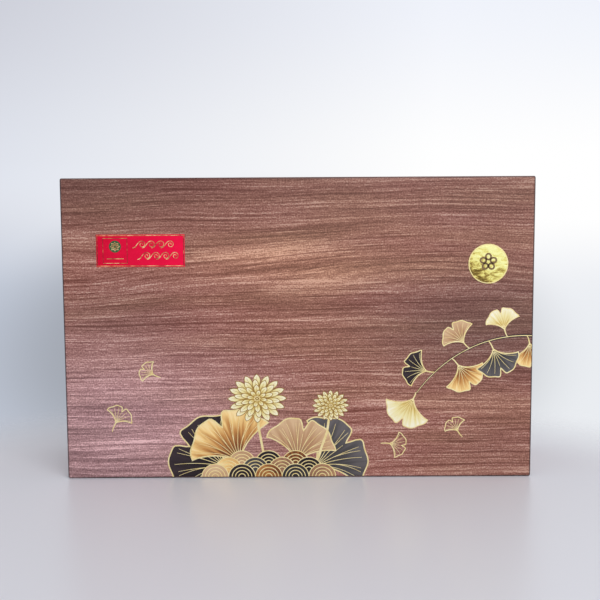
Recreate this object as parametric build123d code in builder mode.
"""Gift box of wrapped board with a hinged cover, a magnetic flap and a side drawer.

The box stands on its long edge with the cover facing -Y. X runs along its width, Z is up
and the origin is on the floor under the middle of the box. Lengths are in millimetres.
"""

import os

from build123d import *

os.makedirs("parts", exist_ok=True)

# Outside of the closed box
box_width = 380.0
box_height = 245.0
box_depth = 110.0

# Wrapped panels: grey board core, printed wrap turned in over the edges, lining inside
core_thickness = 2.5
wrap_thickness = 0.5
wrap_edge_radius = 0.9
turn_in_width = 5.0
fold_gap = 0.3

# Label and round seal stuck on the cover
label_width = 71.0
label_height = 26.0
label_from_left = 28.0
label_from_top = 45.0
seal_diameter = 32.0
seal_from_right = 37.0
seal_from_top = 70.0
sticker_thickness = 0.25

# Tray that carries the panels
panel_overhang = 3.0
cover_clearance = 0.3
tray_thickness = 2.0
board_edge_radius = 0.4
drawer_bay_depth = 40.0

# Partitions and pads in the front of the tray
partition_thickness = 2.0
partition_setback = 6.0
slot_clearance = 0.15
pad_thickness = 8.0
pad_clearance = 0.4
pad_edge_radius = 2.5

# Magnets in the flap and steel keepers in the tray's lower wall
magnet_diameter = 12.0
magnet_thickness = 1.5
keeper_thickness = 1.2
magnet_spacing = 130.0
magnet_count = 3
magnet_from_flap_edge = 20.0

# Drawer in the back of the tray
drawer_clearance = 0.3
drawer_thickness = 2.0
drawer_front_thickness = 3.0
drawer_divider_thickness = 2.0
drawer_divider_setback = 5.0
drawer_compartments = 3
drawer_lining_thickness = 0.6

# Brass eyelet round the finger hole of the drawer
finger_hole_diameter = 16.0
eyelet_wall = 0.9
eyelet_rim_width = 3.2
eyelet_rim_thickness = 0.9
eyelet_rim_radius = 0.4

# Places that follow from the sizes above
board_thickness = core_thickness + 2 * wrap_thickness
front_y = -box_depth / 2
back_y = box_depth / 2
fold_radius = board_thickness / 2
panel_setback = board_thickness + fold_gap

tray_half_width = box_width / 2 - panel_overhang
tray_front_y = front_y + board_thickness + cover_clearance
tray_back_y = back_y - board_thickness
tray_bottom_z = board_thickness + cover_clearance
tray_top_z = box_height - board_thickness

inner_half_width = tray_half_width - tray_thickness
inner_bottom_z = tray_bottom_z + tray_thickness
inner_top_z = tray_top_z - tray_thickness
inner_middle_z = (inner_bottom_z + inner_top_z) / 2
tier_back_y = tray_back_y - drawer_bay_depth
tier_front_y = tier_back_y - tray_thickness

drawer_left_x = -inner_half_width + drawer_clearance
drawer_right_x = tray_half_width
drawer_open_y = tier_back_y + drawer_clearance
drawer_back_y = tray_back_y - drawer_clearance
drawer_bottom_z = inner_bottom_z + drawer_clearance
drawer_top_z = inner_top_z - drawer_clearance


def save(piece, name):
    """Labels a finished piece and writes its STEP file."""
    piece.part.label = name
    export_step(piece.part, f"parts/{name}.step")


def board(x_range, y_range, z_range):
    """A paper-covered board with eased edges that fills the three ranges."""
    (left, right), (front, back), (bottom, top) = x_range, y_range, z_range
    with BuildPart() as piece:
        with BuildSketch(Plane.XY.offset(bottom)):
            with Locations(((left + right) / 2, (front + back) / 2)):
                Rectangle(right - left, back - front)
        extrude(amount=top - bottom)
        fillet(piece.edges(), board_edge_radius)
    return piece


# Each panel's outer face, with the plane's normal pointing out of the box
cover_height = box_height - 2 * panel_setback
back_height = box_height - panel_setback
spine_depth = box_depth - 2 * panel_setback
flap_depth = box_depth - 2 * panel_setback

cover_outside = Plane(origin=(0, front_y, box_height / 2), x_dir=(1, 0, 0), z_dir=(0, -1, 0))
back_outside = Plane(origin=(0, back_y, back_height / 2), x_dir=(1, 0, 0), z_dir=(0, 1, 0))
spine_outside = Plane(origin=(0, 0, box_height), x_dir=(1, 0, 0), z_dir=(0, 0, 1))
flap_outside = Plane(origin=(0, 0, 0), x_dir=(1, 0, 0), z_dir=(0, 0, -1))


def panel_core(outside, height):
    """The grey board inside a wrapped panel."""
    with BuildPart() as piece:
        with BuildSketch(outside.offset(-wrap_thickness)):
            Rectangle(box_width - 2 * wrap_thickness, height - 2 * wrap_thickness)
        extrude(amount=-core_thickness)
    return piece


def panel_wrap(outside, height):
    """The printed paper over a panel's outer face and edges, turned in all round the inside."""
    inside = outside.offset(-wrap_thickness)
    with BuildPart() as piece:
        with BuildSketch(outside):
            Rectangle(box_width, height)
        extrude(amount=-board_thickness)
        fillet(piece.edges(), wrap_edge_radius)
        with BuildSketch(inside):
            Rectangle(box_width - 2 * wrap_thickness, height - 2 * wrap_thickness)
        extrude(amount=-core_thickness, mode=Mode.SUBTRACT)
        with BuildSketch(inside.offset(-core_thickness)):
            Rectangle(box_width - 2 * turn_in_width, height - 2 * turn_in_width)
        extrude(amount=-wrap_thickness, mode=Mode.SUBTRACT)
    return piece


def panel_lining(outside, height):
    """The lining sheet that fills the inside of a panel between the turned-in edges."""
    with BuildPart() as piece:
        with BuildSketch(outside.offset(-wrap_thickness - core_thickness)):
            Rectangle(box_width - 2 * turn_in_width, height - 2 * turn_in_width)
        extrude(amount=-wrap_thickness)
    return piece


# The four wrapped panels of the case
panels = {
    "cover": (cover_outside, cover_height),
    "back": (back_outside, back_height),
    "spine": (spine_outside, spine_depth),
    "flap": (flap_outside, flap_depth),
}
for panel_name, (outside, height) in panels.items():
    save(panel_wrap(outside, height), f"{panel_name}_wrap")
    save(panel_lining(outside, height), f"{panel_name}_lining")
    if panel_name != "flap":
        save(panel_core(outside, height), f"{panel_name}_core")

# The flap's magnets lie in pockets of its core that open to the inside, under the lining
magnet_y = flap_depth / 2 - magnet_from_flap_edge


def disc_row(face, face_y, thickness):
    """A row of discs along X with the magnets' diameter and spacing, standing on a face."""
    with BuildPart() as piece:
        with BuildSketch(face):
            with Locations((0, face_y)):
                with GridLocations(magnet_spacing, 0, magnet_count, 1):
                    Circle(magnet_diameter / 2)
        extrude(amount=thickness)
    return piece


flap_inner_face = flap_outside.offset(-wrap_thickness - core_thickness)
flap_magnets = disc_row(flap_inner_face, -magnet_y, magnet_thickness)
save(flap_magnets, "flap_magnets")

with BuildPart() as flap_core:
    add(panel_core(flap_outside, flap_depth).part)
    add(flap_magnets.part, mode=Mode.SUBTRACT)
save(flap_core, "flap_core")

# Paper folds between the panels, each a slim roll centred on the line that it turns about
fold_lines = {
    "cover_fold": (front_y + fold_radius, box_height - fold_radius),
    "back_fold": (back_y - fold_radius, box_height - fold_radius),
    "flap_fold": (front_y + fold_radius, fold_radius),
}
for fold_name, (fold_y, fold_z) in fold_lines.items():
    fold_end = Plane(origin=(-box_width / 2, fold_y, fold_z), x_dir=(0, 1, 0), z_dir=(1, 0, 0))
    with BuildPart() as fold:
        with BuildSketch(fold_end):
            Circle(fold_radius)
        extrude(amount=box_width)
    save(fold, fold_name)

# Label and round seal on the cover's face
label_x = -box_width / 2 + label_from_left + label_width / 2
label_z = box_height / 2 - label_from_top - label_height / 2
with BuildPart() as cover_label:
    with BuildSketch(cover_outside):
        with Locations((label_x, label_z)):
            Rectangle(label_width, label_height)
    extrude(amount=sticker_thickness)
save(cover_label, "cover_label")

seal_x = box_width / 2 - seal_from_right
seal_z = box_height / 2 - seal_from_top
with BuildPart() as cover_seal:
    with BuildSketch(cover_outside):
        with Locations((seal_x, seal_z)):
            Circle(seal_diameter / 2)
    extrude(amount=sticker_thickness)
save(cover_seal, "cover_seal")

# Tray walls and the tier board that parts the front compartments from the drawer bay
tray_x = (-tray_half_width, tray_half_width)
tray_y = (tray_front_y, tray_back_y)
inner_x = (-inner_half_width, inner_half_width)
inner_z = (inner_bottom_z, inner_top_z)

save(board(tray_x, tray_y, (inner_top_z, tray_top_z)), "tray_top_wall")
save(board((-tray_half_width, -inner_half_width), tray_y, inner_z), "tray_left_wall")
save(board((inner_half_width, tray_half_width), (tray_front_y, tier_back_y), inner_z), "tray_right_wall")
save(board(inner_x, (tier_front_y, tier_back_y), inner_z), "tier_board")

# Steel keepers sit flush in the underside of the lower wall, facing the flap's magnets
tray_keepers = disc_row(Plane.XY.offset(tray_bottom_z), magnet_y, keeper_thickness)
save(tray_keepers, "tray_keepers")

with BuildPart() as tray_bottom_wall:
    add(board(tray_x, tray_y, (tray_bottom_z, inner_bottom_z)).part)
    add(tray_keepers.part, mode=Mode.SUBTRACT)
save(tray_bottom_wall, "tray_bottom_wall")

# Two partitions slotted into each other make four compartments
partition_front_y = tray_front_y + partition_setback
partition_y = (partition_front_y, tier_front_y)
slot_width = partition_thickness + 2 * slot_clearance
slot_depth = (tier_front_y - partition_front_y) / 2 + slot_clearance
half_partition = partition_thickness / 2

across_bottom_z = inner_middle_z - half_partition
with BuildPart() as partition_across:
    add(board(inner_x, partition_y, (across_bottom_z, inner_middle_z + half_partition)).part)
    with BuildSketch(Plane.XY.offset(across_bottom_z)):
        with Locations((0, partition_front_y + slot_depth / 2)):
            Rectangle(slot_width, slot_depth)
    extrude(amount=partition_thickness, mode=Mode.SUBTRACT)
save(partition_across, "partition_across")

with BuildPart() as partition_upright:
    add(board((-half_partition, half_partition), partition_y, inner_z).part)
    with BuildSketch(Plane.XY.offset(inner_middle_z - slot_width / 2)):
        with Locations((0, tier_front_y - slot_depth / 2)):
            Rectangle(partition_thickness, slot_depth)
    extrude(amount=slot_width, mode=Mode.SUBTRACT)
save(partition_upright, "partition_upright")

# One padded base in each compartment, lying against the tier board
pad_width = inner_half_width - half_partition - 2 * pad_clearance
pad_height = inner_top_z - inner_middle_z - half_partition - 2 * pad_clearance
tier_face = Plane(origin=(0, tier_front_y, inner_middle_z), x_dir=(1, 0, 0), z_dir=(0, -1, 0))
for row_name, row in {"upper": 1, "lower": -1}.items():
    for column_name, column in {"left": -1, "right": 1}.items():
        pad_x = column * (half_partition + pad_clearance + pad_width / 2)
        pad_z = row * (half_partition + pad_clearance + pad_height / 2)
        with BuildPart() as pad:
            with BuildSketch(tier_face):
                with Locations((pad_x, pad_z)):
                    Rectangle(pad_width, pad_height)
            extrude(amount=pad_thickness)
            fillet(pad.edges(), pad_edge_radius)
        save(pad, f"pad_{row_name}_{column_name}")

# Drawer floor, sides and ends: the drawer opens to the front, like the compartments
drawer_floor_y = drawer_back_y - drawer_thickness
drawer_wall_y = (drawer_open_y, drawer_floor_y)
drawer_inner_right_x = drawer_right_x - drawer_front_thickness
drawer_inner_left_x = drawer_left_x + drawer_thickness
drawer_side_x = (drawer_left_x, drawer_inner_right_x)
drawer_z = (drawer_bottom_z, drawer_top_z)
drawer_inner_z = (drawer_bottom_z + drawer_thickness, drawer_top_z - drawer_thickness)

save(board((drawer_left_x, drawer_right_x), (drawer_floor_y, drawer_back_y), drawer_z), "drawer_floor")
save(board(drawer_side_x, drawer_wall_y, (drawer_inner_z[1], drawer_top_z)), "drawer_upper_side")
save(board(drawer_side_x, drawer_wall_y, (drawer_bottom_z, drawer_inner_z[0])), "drawer_lower_side")
save(board((drawer_left_x, drawer_inner_left_x), drawer_wall_y, drawer_inner_z), "drawer_far_end")

# The drawer's front has a finger hole lined with a brass eyelet
finger_hole_center = (drawer_right_x, (drawer_open_y + drawer_floor_y) / 2, inner_middle_z)
drawer_front_face = Plane(origin=finger_hole_center, x_dir=(0, 1, 0), z_dir=(1, 0, 0))
eyelet_hole_radius = finger_hole_diameter / 2 + eyelet_wall
with BuildPart() as drawer_front:
    add(board((drawer_inner_right_x, drawer_right_x), drawer_wall_y, drawer_z).part)
    with BuildSketch(drawer_front_face):
        Circle(eyelet_hole_radius)
    extrude(amount=-drawer_front_thickness, mode=Mode.SUBTRACT)
save(drawer_front, "drawer_front")

eyelet_rim_outer_radius = eyelet_hole_radius + eyelet_rim_width
with BuildPart() as drawer_eyelet:
    with BuildSketch(drawer_front_face):
        Circle(eyelet_rim_outer_radius)
    extrude(amount=eyelet_rim_thickness)
    with BuildSketch(drawer_front_face):
        Circle(eyelet_hole_radius)
    extrude(amount=-drawer_front_thickness)
    with BuildSketch(drawer_front_face.offset(eyelet_rim_thickness)):
        Circle(finger_hole_diameter / 2)
    extrude(amount=-eyelet_rim_thickness - drawer_front_thickness, mode=Mode.SUBTRACT)
    fillet(drawer_eyelet.faces().sort_by(Axis.X)[-1].edges(), eyelet_rim_radius)
save(drawer_eyelet, "drawer_eyelet")

# Lining sheet on the drawer's floor, and the dividers that stand on it
drawer_inner_length = drawer_inner_right_x - drawer_inner_left_x
drawer_middle_x = (drawer_inner_left_x + drawer_inner_right_x) / 2
drawer_floor_face = Plane(
    origin=(drawer_middle_x, drawer_floor_y, inner_middle_z), x_dir=(1, 0, 0), z_dir=(0, -1, 0)
)
with BuildPart() as drawer_lining:
    with BuildSketch(drawer_floor_face):
        Rectangle(drawer_inner_length, drawer_inner_z[1] - drawer_inner_z[0])
    extrude(amount=drawer_lining_thickness)
save(drawer_lining, "drawer_lining")

drawer_lining_y = drawer_floor_y - drawer_lining_thickness
drawer_divider_y = (drawer_open_y + drawer_divider_setback, drawer_lining_y)
for number in range(1, drawer_compartments):
    divider_x = drawer_inner_left_x + number * drawer_inner_length / drawer_compartments
    divider_x_range = (divider_x - drawer_divider_thickness / 2, divider_x + drawer_divider_thickness / 2)
    save(board(divider_x_range, drawer_divider_y, drawer_inner_z), f"drawer_divider_{number}")
